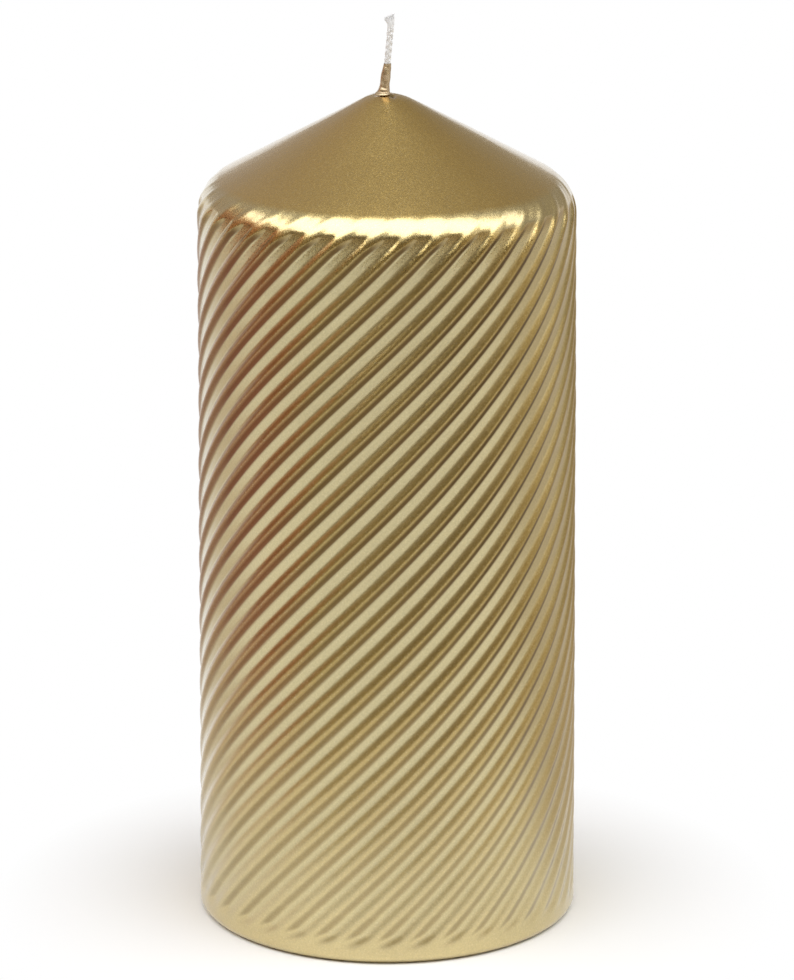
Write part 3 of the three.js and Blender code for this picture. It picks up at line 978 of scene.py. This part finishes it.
def make_camera(stage):
    """A camera straight in front of the candle that looks down at it."""
    data = bpy.data.cameras.new("camera")
    data.lens = stage.camera_lens
    data.sensor_width = 36
    data.clip_start, data.clip_end = 0.01, 50
    camera = bpy.data.objects.new("camera", data)
    camera.location = (0, -stage.camera_distance, stage.camera_height)
    camera.rotation_euler = Euler((math.pi / 2 - stage.camera_pitch, 0, -stage.camera_turn))
    bpy.context.scene.collection.objects.link(camera)
    return camera


# Operators

def settings():
    """The scene's candle settings."""
    return bpy.context.scene.candle_settings


class CANDLE_OT_skin(bpy.types.Operator):
    """Make the ribbed lacquer skin"""

    bl_idname = "candle.make_skin"
    bl_label = "Ribbed skin"

    def execute(self, context):
        skin = make_skin(settings().body)
        dress(skin, lacquer_material(settings().finish))
        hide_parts("gold_skin")
        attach(skin, "root")
        return {"FINISHED"}


class CANDLE_OT_core(bpy.types.Operator):
    """Give the wax core and the wick's metal foot their materials"""

    bl_idname = "candle.dress_core"
    bl_label = "Core and metal foot"

    def execute(self, context):
        dress(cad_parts["wax_core"], wax_material())
        dress(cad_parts["wick_sustainer"], steel_material())
        return {"FINISHED"}


class CANDLE_OT_wick(bpy.types.Operator):
    """Make the braided wick and its lacquer collar"""

    bl_idname = "candle.make_wick"
    bl_label = "Wick and collar"

    def execute(self, context):
        body, wick = settings().body, settings().wick
        braid = make_wick(body, wick)
        dress(braid, cotton_material(wick))
        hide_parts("wick")
        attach(braid, "root")
        collar = make_collar(body, wick)
        dress(collar, collar_material(wick))
        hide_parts("wick_collar")
        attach(collar, "root")
        return {"FINISHED"}


class CANDLE_OT_stage(bpy.types.Operator):
    """Make the floor, the walls, the room's light, the softboxes and the camera"""

    bl_idname = "candle.make_stage"
    bl_label = "Stage"

    def execute(self, context):
        stage = settings().stage
        scene = context.scene
        floor = make_floor(stage)
        floor.data.materials.append(stage_material("pale_floor", stage))
        backdrop = make_wall("backdrop", stage.floor_radius - 0.1, BACKDROP_HEIGHT, *BACKDROP_ARC)
        backdrop.data.materials.append(stage_material("pale_backdrop", stage))
        room_wall = make_wall("room_wall", ROOM_RADIUS, ROOM_HEIGHT, *ROOM_ARC)
        front, side = stage.wall_colour, stage.side_colour
        dim = tuple(ROOM_DIMMER * value for value in front)
        room_wall.data.materials.append(wall_material("room_paint", dim, side))
        low_screen = make_wall("low_screen", SCREEN_RADIUS, SCREEN_HEIGHT, *ROOM_ARC)
        low_screen.data.materials.append(wall_material("screen_cloth", front, side))
        room_wall.visible_camera = low_screen.visible_camera = False

        overhead_aim = (*OVERHEAD_PLACE[:2], 0)
        area_lamp("overhead_softbox", OVERHEAD_PLACE, overhead_aim, *OVERHEAD_SIZE, stage.softbox_level)
        for softbox in SOFTBOXES:
            area_lamp(*softbox)
        scene.world = make_room(stage)
        scene.camera = make_camera(stage)
        scene.view_settings.view_transform = "Standard"
        return {"FINISHED"}


class CandleSettings(bpy.types.PropertyGroup):
    """All settings of the candle."""

    body: PointerProperty(type=CandleBodySettings)
    finish: PointerProperty(type=SkinFinishSettings)
    wick: PointerProperty(type=WickSettings)
    stage: PointerProperty(type=StageSettings)


OPERATORS = (CANDLE_OT_skin, CANDLE_OT_core, CANDLE_OT_wick, CANDLE_OT_stage)


class CANDLE_PT_sidebar(bpy.types.Panel):
    """The candle's pieces and settings"""

    bl_label = "Candle"
    bl_idname = "CANDLE_PT_sidebar"
    bl_space_type = "VIEW_3D"
    bl_region_type = "UI"
    bl_category = "Candle"

    def draw(self, context):
        for operator in OPERATORS:
            self.layout.operator(operator.bl_idname)
        for name in ("body", "finish", "wick", "stage"):
            group = getattr(context.scene.candle_settings, name)
            box = self.layout.box()
            box.label(text=name.capitalize())
            for key in group.__annotations__:
                box.prop(group, key)


CLASSES = (
    CandleBodySettings,
    SkinFinishSettings,
    WickSettings,
    StageSettings,
    CandleSettings,
    *OPERATORS,
    CANDLE_PT_sidebar,
)


def register():
    for item in CLASSES:
        bpy.utils.register_class(item)
    bpy.types.Scene.candle_settings = PointerProperty(type=CandleSettings)


def unregister():
    del bpy.types.Scene.candle_settings
    for item in reversed(CLASSES):
        bpy.utils.unregister_class(item)


def main():
    register()
    bpy.ops.candle.make_stage()
    bpy.ops.candle.make_skin()
    bpy.ops.candle.dress_core()
    bpy.ops.candle.make_wick()
    bpy.context.view_layer.update()


if __name__ == "__main__":
    main()
